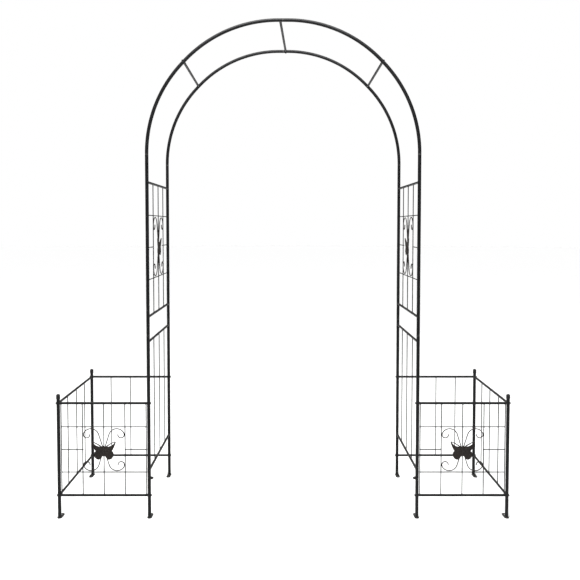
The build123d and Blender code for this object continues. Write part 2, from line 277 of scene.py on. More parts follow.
def add_joint_bead(bm, centre, host_axis, host_radius, branch_axis, branch_radius, size, seed):
    """The weld round the end of a branch where it meets a round host, or a flat one if the
    host's radius is 0."""
    across = host_axis.cross(branch_axis)
    path = []
    steps = 20 if branch_radius > 3 * MM else 14
    for i in range(steps):
        turn = 2 * pi * i / steps
        reach = branch_radius + 0.2 * size
        side = reach * sin(turn)
        seat = sqrt(max(host_radius**2 - side**2, 0.0)) if host_radius else 0.0
        path.append(
            centre
            + host_axis * reach * cos(turn)
            + across * side
            + branch_axis * (seat + 0.15 * size)
        )
    add_bead(bm, path, size, seed)


def add_spot(bm, centre, normal, wide, thick, seed):
    """The small lump that a spot weld leaves between two wires."""
    first = normal.orthogonal().normalized()
    second = normal.cross(first)
    loops = [[centre - normal * thick]]
    for level in (-0.75, -0.4, 0, 0.4, 0.75):
        reach = wide * sqrt(1 - level**2)
        loop = []
        for i in range(12):
            turn = 2 * pi * i / 12
            spread = reach * (1 + 0.1 * sin(3 * turn + seed) + 0.06 * sin(5 * turn - seed))
            loop.append(
                centre + normal * thick * level + (first * cos(turn) + second * sin(turn)) * spread
            )
        loops.append(loop)
    loops.append([centre + normal * thick])
    skin(bm, loops, [0.3] * len(loops))


def make_piece(bm, name, nodes, material, crease=38):
    """Turns the mesh being built into an object that rides on the frame."""
    bmesh.ops.recalc_face_normals(bm, faces=bm.faces)
    mesh = bpy.data.meshes.new(name)
    bm.to_mesh(mesh)
    bm.free()
    mesh.shade_smooth()
    mesh.set_sharp_from_angle(angle=radians(crease))
    piece = bpy.data.objects.new(name, mesh)
    bpy.context.scene.collection.objects.link(piece)
    mesh.materials.append(material)
    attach(piece, "root")
    if nodes:
        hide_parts(*nodes)
    return piece


# ---------------------------------------------------------------- finishes


def colour_ramp(tree, stops):
    """A colour ramp node with the given (place, value) stops."""
    node = tree.nodes.new("ShaderNodeValToRGB")
    ramp = node.color_ramp
    while len(ramp.elements) < len(stops):
        ramp.elements.new(0.5)
    for element, (place, value) in zip(ramp.elements, stops):
        element.position = place
        colour = value if isinstance(value, (tuple, list)) else (value, value, value)
        element.color = (*colour[:3], 1)
    return node


def noise(tree, place, scale, detail=2.0, roughness=0.5):
    """A noise texture in object space."""
    node = tree.nodes.new("ShaderNodeTexNoise")
    node.inputs["Scale"].default_value = scale
    node.inputs["Detail"].default_value = detail
    node.inputs["Roughness"].default_value = roughness
    tree.links.new(place, node.inputs["Vector"])
    return node.outputs["Fac"]


def math_node(tree, operation, first, second):
    """A math node of two inputs, each a socket or a number."""
    node = tree.nodes.new("ShaderNodeMath")
    node.operation = operation
    node.use_clamp = True
    for index, value in enumerate((first, second)):
        if isinstance(value, (int, float)):
            node.inputs[index].default_value = value
        else:
            tree.links.new(value, node.inputs[index])
    return node.outputs[0]


def blend_colours(tree, factor, first, second):
    """One colour laid over another, each a socket or a colour."""
    node = tree.nodes.new("ShaderNodeMix")
    node.data_type = "RGBA"
    tree.links.new(factor, node.inputs["Factor"])
    for socket, value in ((node.inputs[6], first), (node.inputs[7], second)):
        if isinstance(value, bpy.types.NodeSocket):
            tree.links.new(value, socket)
        else:
            socket.default_value = (*value[:3], 1)
    return node.outputs[2]


def coated_steel(name, colour, roughness, peel_scale, peel_depth, finish, mottle=0.35, bare=True):
    """Coated steel: mottled colour, orange-peel bump, dust on what faces up and bare metal
    where edges are rubbed."""
    if name in bpy.data.materials:
        return bpy.data.materials[name]
    material = bpy.data.materials.new(name)
    material.use_nodes = True
    material.diffuse_color = (*colour[:3], 1)
    tree = material.node_tree
    shader = next(node for node in tree.nodes if node.type == "BSDF_PRINCIPLED")
    links = tree.links
    place = tree.nodes.new("ShaderNodeTexCoord").outputs["Object"]

    clouds = noise(tree, place, 9, 4, 0.6)
    light = [min(1.0, part * (1 + mottle)) for part in colour[:3]]
    dark = [part * (1 - mottle) for part in colour[:3]]
    tone = colour_ramp(tree, [(0.32, dark), (0.68, light)])
    links.new(clouds, tone.inputs["Fac"])

    geometry = tree.nodes.new("ShaderNodeNewGeometry")
    parts = tree.nodes.new("ShaderNodeSeparateXYZ")
    links.new(geometry.outputs["Normal"], parts.inputs["Vector"])
    up = colour_ramp(tree, [(0.55, 0.0), (1.0, 1.0)])
    links.new(parts.outputs["Z"], up.inputs["Fac"])
    specks = colour_ramp(tree, [(0.40, 0.15), (0.72, 1.0)])
    links.new(noise(tree, place, 55, 6, 0.7), specks.inputs["Fac"])
    dust = math_node(tree, "MULTIPLY", up.outputs["Color"], specks.outputs["Color"])
    dust = math_node(tree, "MULTIPLY", dust, finish.dust_amount)
    base = blend_colours(tree, dust, tone.outputs["Color"], finish.dust_colour)

    level = colour_ramp(tree, [(0.3, roughness - 0.07), (0.7, roughness + 0.08)])
    links.new(noise(tree, place, 38, 3, 0.6), level.inputs["Fac"])
    if bare:
        worn = tree.nodes.new("ShaderNodeAttribute")
        worn.attribute_name = "wear"
        chips = colour_ramp(tree, [(0.52, 0.0), (0.60, 1.0)])
        links.new(noise(tree, place, 420, 5, 0.75), chips.inputs["Fac"])
        rubbed = math_node(tree, "MULTIPLY", worn.outputs["Fac"], chips.outputs["Color"])
        rubbed = math_node(tree, "MULTIPLY", rubbed, finish.wear_amount)
        base = blend_colours(tree, rubbed, base, finish.bare_colour)
        metal = math_node(tree, "MULTIPLY", rubbed, 0.9)
        links.new(metal, shader.inputs["Metallic"])
    links.new(base, shader.inputs["Base Color"])
    links.new(level.outputs["Color"], shader.inputs["Roughness"])

    peel = tree.nodes.new("ShaderNodeBump")
    peel.inputs["Strength"].default_value = 0.55
    peel.inputs["Distance"].default_value = peel_depth
    links.new(noise(tree, place, peel_scale, 2, 0.5), peel.inputs["Height"])
    waves = tree.nodes.new("ShaderNodeBump")
    waves.inputs["Strength"].default_value = 0.35
    waves.inputs["Distance"].default_value = peel_depth * 3
    links.new(noise(tree, place, peel_scale / 7, 2, 0.5), waves.inputs["Height"])
    links.new(peel.outputs["Normal"], waves.inputs["Normal"])
    links.new(waves.outputs["Normal"], shader.inputs["Normal"])
    shader.inputs["Specular IOR Level"].default_value = 0.14
    return material


def tube_paint(context):
    """The satin black powder coat of the tubes and rails."""
    finish = context.scene.arch_finish
    return coated_steel("satin_black_powder_coat", finish.paint_colour, finish.paint_roughness,
                        900, finish.peel_depth, finish)


def wire_paint(context):
    """The same coat on the thin wires, where it pulls smooth."""
    finish = context.scene.arch_finish
    return coated_steel("satin_black_wire_coat", finish.paint_colour, finish.paint_roughness + 0.03,
                        1300, finish.peel_depth * 0.6, finish, mottle=0.3)


def weld_paint(context):
    """The coat over the welds, with their scale showing through."""
    finish = context.scene.arch_finish
    return coated_steel("coated_weld_bead", finish.paint_colour, finish.paint_roughness + 0.1,
                        1700, finish.peel_depth * 2.5, finish, mottle=0.45)


def ornament_paint(context):
    """The duller, slightly brown coat of the cast butterflies."""
    finish = context.scene.arch_finish
    return coated_steel("brown_black_casting_coat", finish.ornament_colour,
                        finish.paint_roughness + 0.08, 1500, finish.peel_depth * 2.2, finish,
                        mottle=0.5)


def scroll_paint(context):
    """The ornament's coat on the scrolls' wire."""
    finish = context.scene.arch_finish
    return coated_steel("brown_black_wire_coat", finish.ornament_colour,
                        finish.paint_roughness + 0.04, 1300, finish.peel_depth * 0.8, finish)


def cap_plastic(context):
    """The matt moulded plastic of the post caps."""
    finish = context.scene.arch_finish
    return coated_steel("matt_black_moulded_plastic", finish.plastic_colour, 0.58,
                        2600, finish.peel_depth * 0.9, finish, mottle=0.18, bare=False)


def screw_finish(context):
    """The blackened zinc of the screws, washers and nuts."""
    finish = context.scene.arch_finish
    return coated_steel("blackened_zinc_screws", finish.screw_colour, 0.36,
                        2200, finish.peel_depth * 0.4, finish, mottle=0.4)


# ---------------------------------------------------------------- sizes and colours


def colour_setting(name, description, colour):
    """A colour in the panel."""
    return FloatVectorProperty(name=name, description=description, subtype="COLOR", size=3,
                               min=0, max=1, default=colour)


def length_setting(name, description, low, high, length):
    """A length in the panel, in metres."""
    return FloatProperty(name=name, description=description, subtype="DISTANCE", unit="LENGTH",
                         min=low, max=high, default=length)


def share_setting(name, description, low, high, share):
    """A share in the panel."""
    return FloatProperty(name=name, description=description, subtype="FACTOR",
                         min=low, max=high, default=share)


def number_setting(name, description, low, high, number):
    """A plain number in the panel."""
    return FloatProperty(name=name, description=description, min=low, max=high, default=number)


class ArchFinish(bpy.types.PropertyGroup):
    """Colours and surface of the coated steel and plastic"""

    paint_colour: colour_setting(
        "Paint", "Powder coat of the tubes, rails and wires", (0.0043, 0.0044, 0.0048))
    ornament_colour: colour_setting(
        "Ornament", "Coat of the butterflies and scrolls", (0.0125, 0.0095, 0.0082))
    plastic_colour: colour_setting(
        "Post caps", "Moulded plastic of the post caps", (0.0095, 0.0095, 0.010))
    screw_colour: colour_setting(
        "Screws", "Blackened screws, nuts and washers", (0.014, 0.014, 0.0145))
    bare_colour: colour_setting(
        "Bare steel", "Steel that shows where the coat is rubbed through", (0.22, 0.21, 0.20))
    dust_colour: colour_setting(
        "Dust", "Dust on surfaces that face up", (0.16, 0.15, 0.135))
    paint_roughness: share_setting(
        "Paint roughness", "Roughness of the powder coat", 0.1, 0.9, 0.40)
    peel_depth: length_setting(
        "Orange peel depth", "Depth of the fine unevenness of the coat", 0, 0.001, 0.00006)
    wear_amount: share_setting(
        "Edge wear", "How much of the rubbed edges is bare steel", 0, 1, 0.55)
    dust_amount: share_setting(
        "Dust amount", "How much dust lies on what faces up", 0, 1, 0.30)


class ArchDetail(bpy.types.PropertyGroup):
    """Sizes of the small details that the frame leaves plain"""

    tube_edge: length_setting(
        "Tube end rounding", "Rounding of the tubes' ends at their joints", 0.0001, 0.002, 0.0009)
    tube_weld: length_setting(
        "Rail weld size", "Thickness of the welds between rails and tubes", 0.0003, 0.003, 0.0014)
    wire_weld: length_setting(
        "Wire weld size", "Thickness of the welds between wires and rails", 0.0002, 0.002, 0.0008)
    wing_thickness: length_setting(
        "Wing thickness", "Thickness of a butterfly's wings between the ribs",
        0.0005, 0.003, 0.0014)
    wing_rib: length_setting(
        "Wing rib height", "Height of the raised ribs and rims of the wings", 0.0, 0.003, 0.0012)


class ArchStage(bpy.types.PropertyGroup):
    """Floor, lights and camera"""

    floor_colour: colour_setting("Floor", "Colour of the plain floor", (0.90, 0.90, 0.90))
    surround_strength: number_setting(
        "Surround strength", "Strength of the plain white surround", 0, 5, 1.0)
    surround_light: number_setting(
        "Surround light", "How much light the surround casts on the arch", 0, 5, 0.55)
    overhead_strength: number_setting(
        "Overhead light", "Strength of the broad light from above", 0, 20, 2.9)
    key_power: FloatProperty(
        name="Key light", description="Power of the softbox above the front of the arch",
        subtype="POWER", unit="POWER", min=0, max=2000, default=110)
    camera_distance: length_setting(
        "Camera distance", "From the camera to the middle of the arch", 1, 20, 3.07)
    camera_height: length_setting(
        "Camera height", "Height of the camera above the ground", 0, 5, 1.20)
    camera_tilt: FloatProperty(
        name="Camera tilt", description="How far the camera looks down",
        subtype="ANGLE", unit="ROTATION", min=-1, max=1, default=radians(2.4))
    lens: number_setting("Lens", "Focal length in millimetres", 10, 200, 43.22)


# ---------------------------------------------------------------- tubes


def hoop_line(side, y):
    """The centre line of a quarter of a hoop, from its leg to the crown."""
    leg = abs(middle_of("lower_leg_front_left").x)
    crown = cad_bounds[1].z - tube_radius()
    bend = leg - HOOP_CROWN_FLAT - HOOP_SIDE_FLAT * sin(SIDE_BAR_ANGLE)
    spring = crown - bend - HOOP_SIDE_FLAT * cos(SIDE_BAR_ANGLE)
    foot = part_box("upper_leg_front_left")[1].z
    flat_line = [(leg, foot)]
    steps = 30
    for i in range(steps + 1):
        turn = SIDE_BAR_ANGLE * i / steps
        flat_line.append((leg - bend + bend * cos(turn), spring + bend * sin(turn)))
    shift_x = -HOOP_SIDE_FLAT * sin(SIDE_BAR_ANGLE)
    shift_z = HOOP_SIDE_FLAT * cos(SIDE_BAR_ANGLE)
    for i in range(steps + 1):
        turn = SIDE_BAR_ANGLE + (pi / 2 - SIDE_BAR_ANGLE) * i / steps
        flat_line.append((leg - bend + shift_x + bend * cos(turn),
                          spring + shift_z + bend * sin(turn)))
    flat_line.append((0.0, crown))
    return [Vector((side * x, y, z)) for x, z in flat_line]


def crossbar_places():
    """Each crossbar's front end, rear end and the way that its screws' heads face."""
    out = cos(SIDE_BAR_ANGLE), sin(SIDE_BAR_ANGLE)
    front = middle_of("lower_leg_front_left").y
    places = {}
    for name, side in SIDES:
        middle = middle_of(f"crossbar_{name}")
        places[f"crossbar_{name}"] = (
            Vector((middle.x, front, middle.z)),
            Vector((middle.x, -front, middle.z)),
            Vector((side * out[0], 0, out[1])),
        )
    height = middle_of("crossbar_crown").z
    places["crossbar_crown"] = (
        Vector((-CROWN_BAR_OFFSET, front, height)),
        Vector((CROWN_BAR_OFFSET, -front, height)),
        Vector((0, 0, -1)),
    )
    return places


class ARCH_OT_hoops(bpy.types.Operator):
    """Builds the two hoops from four bent quarter tubes"""

    bl_idname = "arch.hoops"
    bl_label = "Hoops"

    def execute(self, context):
        detail = context.scene.arch_detail
        for front, _, name, side in CORNERS:
            y = middle_of(f"lower_leg_{front}_{name}").y
            bm = bmesh.new()
            add_rod(bm, hoop_line(side, y), tube_radius(), 32, detail.tube_edge)
            make_piece(bm, f"hoop_quarter_{front}_{name}", [f"arch_quarter_{front}_{name}"],
                       tube_paint(context))
        return {"FINISHED"}


class ARCH_OT_legs(bpy.types.Operator):
    """Builds the legs and the planter boxes' posts"""

    bl_idname = "arch.legs"
    bl_label = "Legs and posts"

    def execute(self, context):
        detail = context.scene.arch_detail
        for front, _, name, _ in CORNERS:
            for part in ("lower_leg", "upper_leg", "post"):
                node = f"{part}_{front}_{name}"
                low, high = upright_line(node)
                if part == "upper_leg":
                    low.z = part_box(f"lower_leg_{front}_{name}")[1].z
                bm = bmesh.new()
                add_rod(bm, [low, high], tube_radius(), 32, detail.tube_edge)
                make_piece(bm, f"{part}_tube_{front}_{name}", [node],
                           tube_paint(context))
        return {"FINISHED"}


class ARCH_OT_crossbars(bpy.types.Operator):
    """Builds the three bars between the hoops"""

    bl_idname = "arch.crossbars"
    bl_label = "Crossbars"

    def execute(self, context):
        low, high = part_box("crossbar_left")
        radius = (high.x - low.x) / 2
        for node, (front_end, rear_end, _) in crossbar_places().items():
            inward = (rear_end - front_end).normalized() * END_SINK
            bm = bmesh.new()
            add_rod(bm, [front_end + inward, rear_end - inward], radius, 28, BAR_EDGE)
            make_piece(bm, f"{node}_tube", [node], tube_paint(context))
        return {"FINISHED"}


# ---------------------------------------------------------------- panels


def plain_panels():
    """The panels of rails and plain upright wires."""
    kinds = ("lower_side_panel", "box_outer_panel", "box_rear_panel")
    return [Panel(f"{kind}_{name}", False) for kind in kinds for name, _ in SIDES]


def ornament_panels():
    """The panels with a butterfly, each with the way that the butterfly faces."""
    found = []
    for name, side in SIDES:
        found.append((Panel(f"upper_side_panel_{name}", True), Vector((-side, 0, 0))))
        found.append((Panel(f"box_front_panel_{name}", True), Vector((0, -1, 0))))
    return found


class ARCH_OT_rails(bpy.types.Operator):
    """Builds the rails of every panel"""

    bl_idname = "arch.rails"
    bl_label = "Panel rails"

    def execute(self, context):
        panels = plain_panels() + [panel for panel, _ in ornament_panels()]
        for panel in panels:
            bm = bmesh.new()
            for height in panel.heights:
                start = panel.point(panel.ends[0] + END_SINK, height)
                end = panel.point(panel.ends[1] - END_SINK, height)
                add_rod(bm, [start, end], panel.rail, 28, BAR_EDGE)
            make_piece(bm, f"{panel.name}_rail_tubes", [f"{panel.name}_rails"],
                       tube_paint(context))
        return {"FINISHED"}


def add_upright_rods(bm, panel):
    """The upright wires of a panel, let into its rails."""
    low, high = panel.heights
    sink = panel.rail * 0.6
    for along in panel.uprights:
        add_rod(bm, [panel.point(along, low + sink), panel.point(along, high - sink)],
                panel.wire, 16, UPRIGHT_EDGE)


class ARCH_OT_wires(bpy.types.Operator):
    """Builds the upright wires and the cross wires"""

    bl_idname = "arch.wires"
    bl_label = "Wires"

    def execute(self, context):
        for panel in plain_panels():
            bm = bmesh.new()
            add_upright_rods(bm, panel)
            make_piece(bm, f"{panel.name}_bars", [f"{panel.name}_wires"],
                       wire_paint(context))
        for panel, _ in ornament_panels():
            bm = bmesh.new()
            add_upright_rods(bm, panel)
            make_piece(bm, f"{panel.name}_upright_bars", [f"{panel.name}_upright_wires"],
                       wire_paint(context))
            bm = bmesh.new()
            for start, end in cross_wire_runs(panel):
                add_rod(bm, [start, end], panel.wire, 16, BAR_EDGE)
            make_piece(bm, f"{panel.name}_cross_bars", [f"{panel.name}_cross_wires"],
                       wire_paint(context))
        return {"FINISHED"}


def cross_wire_heights(panel):
    """The heights of the lower, middle and upper cross wire."""
    low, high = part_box(f"{panel.name}_cross_wires")
    return low.z + panel.wire, (low.z + high.z) / 2, high.z - panel.wire


def cross_wire_out(panel):
    """How far the cross wires' plane is from the uprights' plane."""
    return middle_of(f"{panel.name}_cross_wires")[1 - panel.along] - panel.across


def cross_wire_runs(panel):
    """The ends of each cross wire's centre line."""
    out = cross_wire_out(panel)
    low, middle, high = cross_wire_heights(panel)
    first, last = panel.uprights[0] - panel.wire, panel.uprights[4] + panel.wire
    inner_first, inner_last = panel.uprights[1] + panel.wire, panel.uprights[3] - panel.wire
    runs = [(low, first, last), (high, first, last),
            (middle, first, inner_first), (middle, inner_last, last)]
    return [(panel.point(start, height, out), panel.point(end, height, out))
            for height, start, end in runs]


# ---------------------------------------------------------------- ornament


def arc_points(start, heading, radius, turn, steps):
    """Points of an arc that leaves start in a heading and turns clockwise. The start is left
    out. Returns the points and the heading at the end."""
    centre = (start[0] + radius * sin(heading), start[1] - radius * cos(heading))
    points = []
    for i in range(1, steps + 1):
        angle = heading + pi / 2 - turn * i / steps
        points.append((centre[0] + radius * cos(angle), centre[1] + radius * sin(angle)))
    return points, heading - turn


def scroll_line(panel):
    """The line of the upper scroll on one side, from the butterfly, as (out, up) pairs."""
    bay = panel.uprights[1] - panel.uprights[0]
    _, middle, high = cross_wire_heights(panel)
    layer = 2 * panel.wire - WELD_SINK
    outermost = bay - layer
    top = high - middle - panel.wire - SCROLL_CLEARANCE
    crown, shoulder, curl = 0.4 * outermost, 0.24 * outermost, 0.155 * outermost
    crown_turn = radians(50)
    fall = sin(crown_turn)
    peak = outermost - crown * fall - shoulder * (1 - fall)
    to_centre = (peak - layer, top - crown - SCROLL_START)
    distance = hypot(*to_centre)
    heading = atan2(to_centre[1], to_centre[0]) + asin(crown / distance)
    run = sqrt(distance**2 - crown**2)
    start = (layer, SCROLL_START)
    line = [(start[0] + run * cos(heading) * i / 6, start[1] + run * sin(heading) * i / 6)
            for i in range(7)]
    for radius, turn, steps in (
        (crown, heading + crown_turn, 30),
        (shoulder, pi / 2 - crown_turn, 10),
        (curl, radians(190), 22),
    ):
        points, heading = arc_points(line[-1], heading, radius, turn, steps)
        line += points
    return line


class ARCH_OT_scrolls(bpy.types.Operator):
    """Builds the four scrolls round each butterfly"""

    bl_idname = "arch.scrolls"
    bl_label = "Scrolls"

    def execute(self, context):
        for panel, _ in ornament_panels():
            line = scroll_line(panel)
            centre = panel.uprights[2]
            middle = cross_wire_heights(panel)[1]
            bm = bmesh.new()
            for hand in (1, -1):
                for rise in (1, -1):
                    points = [panel.point(centre + hand * out, middle + rise * up)
                              for out, up in line]
                    add_rod(bm, points, panel.wire, 16, 1.2 * MM, 0.6)
            make_piece(bm, f"{panel.name}_scroll_rods", [f"{panel.name}_scrolls"],
                       scroll_paint(context))
        return {"FINISHED"}


def smooth_outline(corners, steps):
    """A closed smooth line through corners, in millimetres."""
    count = len(corners)
    line = []
    for i in range(count):
        before, here, there, after = (corners[(i + k) % count] for k in (-1, 0, 1, 2))
        for step in range(steps):
            t = step / steps
            spot = []
            for axis in (0, 1):
                a, b, c, d = before[axis], here[axis], there[axis], after[axis]
                spot.append(0.5 * (2 * b + (c - a) * t + (2 * a - 5 * b + 4 * c - d) * t**2
                                   + (3 * b - a - 3 * c + d) * t**3))
            line.append(tuple(spot))
    return line


UPPER_WING = [(1.5, 12), (8, 15), (16, 20.5), (26, 26.5), (36, 31.5), (44, 34.5), (49, 35),
              (49, 30), (46.5, 22), (42.5, 12), (38, 3), (33, -3.5), (22, -4.5), (10, -4),
              (1.5, -3)]
UPPER_OPENING = [(16, 14.2), (17, 15.6), (21, 18.8), (28, 23.2), (35, 27.4), (41, 30.6),
                 (44.3, 31.8), (44.2, 31), (42, 27.8), (38.5, 24.2), (34.5, 21), (30, 18.3),
                 (25, 16.2), (20, 14.6), (17, 13.8)]
LOWER_WING = [(1.5, 0), (12, 0), (23, -1.5), (33, -4.5), (38.5, -10), (40.5, -18), (39, -26),
              (34, -34), (26.5, -39), (18.5, -39.5), (11.5, -34.5), (6, -27), (1.5, -20)]


def add_wing(bm, place, outline, opening, root, thickness, rib, ribs, hand):
    """One wing with a raised rim and ribs that fan out from its root. An opening leaves the
    middle of the wing clear."""
    count = len(outline)
    depths = (0.0, 0.035, 0.08, 0.14, 0.24, 0.38, 0.54, 0.70, 0.84, 0.93, 0.975)
    if opening:
        centre_line = opening
    else:
        middle = (sum(p[0] for p in outline) / count, sum(p[1] for p in outline) / count)
        centre_line = [middle] * count

    def relief(spot, depth):
        """Height of the front above the thin part of the wing, from 0 to 1."""
        rim = exp(-((depth / 0.07) ** 2))
        if opening:
            rim = max(rim, exp(-(((1 - depth) / 0.10) ** 2)))
        angle = atan2(spot[1] - root[1], spot[0] - root[0])
        reach = hypot(spot[0] - root[0], spot[1] - root[1])
        width = 0.035 + 0.5 / max(reach, 4.0)
        veins = max(exp(-(((angle - turn) / width) ** 2)) for turn in ribs)
        return max(rim, 0.75 * veins)

    def lift(spot):
        """The wings rise a little off the panel towards their tips."""
        return 0.9 * MM * (hypot(*spot) / 50) ** 2

    front, back, front_wear = [], [], []
    for depth in depths:
        loop_front, loop_back, worn = [], [], []
        for edge, inner in zip(outline, centre_line):
            spot = (edge[0] + (inner[0] - edge[0]) * depth, edge[1] + (inner[1] - edge[1]) * depth)
            height = relief(spot, depth)
            edge_fall = 0.35 * rib if depth == 0.0 else 0.0
            loop_front.append(place(hand * spot[0], spot[1],
                                    thickness + rib * height + lift(spot) - edge_fall))
            loop_back.append(place(hand * spot[0], spot[1], lift(spot)))
            worn.append(0.5 * height if height > 0.6 else 0.0)
        front.append(loop_front)
        back.append(loop_back)
        front_wear.append(worn)
    if opening:
        loops = front + back[::-1]
        skin(bm, loops, front_wear + [0.0] * len(back), joined=True)
    else:
        tip = (centre_line[0][0], centre_line[0][1])
        tip_front = place(hand * tip[0], tip[1], thickness + rib * relief(tip, 1.0) + lift(tip))
        tip_back = place(hand * tip[0], tip[1], lift(tip))
        loops = [[tip_front]] + front[::-1] + back + [[tip_back]]
        wear = [0.0] + front_wear[::-1] + [0.0] * (len(back) + 1)
        skin(bm, loops, wear)


def add_butterfly_body(bm, origin, up, radius):
    """The ribbed abdomen, the chest and the head, turned about the butterfly's own axis."""
    profile = [(0, -23.6, 0.4)]
    for i in range(25):
        share = i / 24
        taper = radius / MM * (0.42 + 0.5 * sin(share * pi * 0.55))
        profile.append((taper + 0.22 * abs(sin(share * pi * 6)) - 0.1, -23 + 20 * share, 0.25))
    for height, size in ((-2, 0.84), (0, 0.95), (3, 1.0), (6, 1.0), (9, 0.93), (11, 0.78),
                         (12, 0.66), (12.8, 0.72), (14, 0.86), (15.4, 0.9), (16.8, 0.78),
                         (17.8, 0.5), (18.2, 0.25)):
        profile.append((radius / MM * size, height, 0.3))
    profile.append((0, 18.4, 0.4))
    profile = [(reach * MM, height * MM, wear) for reach, height, wear in profile]
    add_turned(bm, origin, up, profile, 24)


class ARCH_OT_butterflies(bpy.types.Operator):
    """Builds the four butterflies with ribbed wings and round bodies"""

    bl_idname = "arch.butterflies"
    bl_label = "Butterflies"

    def execute(self, context):
        detail = context.scene.arch_detail
        up = Vector((0, 0, 1))
        upper = smooth_outline(UPPER_WING, 6)
        opening = smooth_outline(UPPER_OPENING, 6)
        lower = smooth_outline(LOWER_WING, 6)
        # The outer edge of the lower wing is slightly scalloped.
        lower = [(x + 0.55 * sin(i * 0.9) if x > 16 else x, y) for i, (x, y) in enumerate(lower)]
        for panel, outward in ornament_panels():
            sideways = up.cross(outward)
            middle = panel.point(panel.uprights[2], cross_wire_heights(panel)[1])
            seat = panel.wire - WELD_SINK

            def place(right, rise, out):
                return middle + sideways * right * MM + up * rise * MM + outward * (seat + out)

            def over(right, rise, out):
                return place(right, rise, out + UPPER_WING_OUT)

            bm = bmesh.new()
            for hand in (1, -1):
                add_wing(bm, over, upper, opening, (2, 4), detail.wing_thickness,
                         detail.wing_rib, (-0.12, 0.14, 0.36, 1.0), hand)
                add_wing(bm, place, lower, None, (2, 0), detail.wing_thickness,
                         detail.wing_rib, (-0.30, -0.62, -0.92, -1.20), hand)
            add_butterfly_body(bm, middle + outward * (seat + BODY_OUT), up, BODY_RADIUS)
            make_piece(bm, f"{panel.name}_cast_butterfly", [f"{panel.name}_butterfly"],
                       ornament_paint(context), 50)
        return {"FINISHED"}


# ---------------------------------------------------------------- welds


class ARCH_OT_welds(bpy.types.Operator):
    """Adds the weld beads where rails, wires and foot plates are joined"""

    bl_idname = "arch.welds"
    bl_label = "Welds"

    def execute(self, context):
        detail = context.scene.arch_detail
        up = Vector((0, 0, 1))
        material = weld_paint(context)
        screwed = ("box_rear_panel", "box_front_panel")
        faces = {panel.name: outward for panel, outward in ornament_panels()}
        panels = plain_panels() + [panel for panel, _ in ornament_panels()]
        seed = 0.0
        for panel in panels:
            run = panel.run()
            bm = bmesh.new()
            for height, inward in zip(panel.heights, (up, -up)):
                for along in panel.uprights:
                    seed += 1.7
                    add_joint_bead(bm, panel.point(along, height), run, panel.rail, inward,
                                   panel.wire, detail.wire_weld, seed)
                if not panel.name.startswith(screwed):
                    for end, away in zip(panel.ends, (run, -run)):
                        seed += 1.7
                        add_joint_bead(bm, panel.point(end, height), up, tube_radius(), away,
                                       panel.rail, detail.tube_weld, seed)
            if panel.name in faces:
                self.add_ornament_welds(bm, panel, faces[panel.name])
            make_piece(bm, f"{panel.name}_welds", [], material, 60)

        bm = bmesh.new()
        for part in ("lower_leg", "post"):
            for front, _, name, _ in CORNERS:
                foot = upright_line(f"{part}_{front}_{name}")[0]
                seed += 1.7
                add_joint_bead(bm, foot, Vector((1, 0, 0)), 0.0, up, tube_radius(),
                               detail.tube_weld, seed)
        make_piece(bm, "foot_welds", [], material, 60)
        return {"FINISHED"}

    def add_ornament_welds(self, bm, panel, outward):
        """The spot welds between crossing wires, and where the scrolls touch the uprights."""
        out = cross_wire_out(panel) / 2
        low, middle, high = cross_wire_heights(panel)
        places = [(along, height) for along in panel.uprights for height in (low, high)]
        places += [(panel.uprights[i], middle) for i in (0, 1, 3, 4)]
        for index, (along, height) in enumerate(places):
            add_spot(bm, panel.point(along, height, out), outward, 1.9 * MM, 1.0 * MM, index)
        line = scroll_line(panel)
        widest = max(line)
        run = panel.run()
        centre = panel.uprights[2]
        for hand in (1, -1):
            for rise in (1, -1):
                touch = panel.point(centre + hand * (widest[0] + panel.wire),
                                    middle + rise * widest[1])
                add_spot(bm, touch, run, 2.2 * MM, 1.0 * MM, hand + 2 * rise)
                start = panel.point(centre + hand * (line[0][0] - panel.wire),
                                    middle + rise * (line[0][1] + 4 * MM))
                add_spot(bm, start, run, 2.2 * MM, 0.9 * MM, hand - 2 * rise)


# ---------------------------------------------------------------- screws, caps and feet


def cross_recess(radius, angle):
    """The reach of a four-armed recess at an angle."""
    turn = (angle + pi / 4) % (pi / 2) - pi / 4
    arm = radius * 0.24
    return min(radius / cos(turn), arm / max(abs(sin(turn)), 1e-6))


def hexagon(radius, angle):
    """The reach of a hexagon, radius across half its flats."""
    turn = (angle + pi / 6) % (pi / 3) - pi / 6
    return radius / cos(turn)


def add_pan_head(bm, seat, outward, radius, height):
    """A low domed screw head with a cross recess, on its seat."""
    add_turned(bm, seat, outward, [
        (0, -0.4 * MM, 0.0),
        (radius * 0.97, -0.4 * MM, 0.0),
        (radius, 0.15 * height, 0.5),
        (radius * 0.985, 0.38 * height, 0.7),
        (radius * 0.93, 0.60 * height, 0.8),
        (radius * 0.80, 0.80 * height, 0.4),
        (radius * 0.64, 0.92 * height, 0.2),
    ], 48)
    first = outward.orthogonal().normalized()
    second = outward.cross(first)
    loops = []
    for reach, level, crossed in ((radius * 0.64, 0.92, 0), (radius * 0.58, 0.95, 0),
                                  (radius * 0.52, 0.95, 1), (radius * 0.46, 0.60, 1),
                                  (radius * 0.34, 0.38, 1)):
        loop = []
        for i in range(48):
            angle = 2 * pi * i / 48
            size = cross_recess(reach, angle) if crossed else reach
            across = (first * cos(angle) + second * sin(angle)) * size
            loop.append(seat + outward * height * level + across)
        loops.append(loop)
    loops.append([seat + outward * height * 0.34])
    skin(bm, loops, [0.2, 0.5, 0.9, 0.1, 0.0, 0.0])


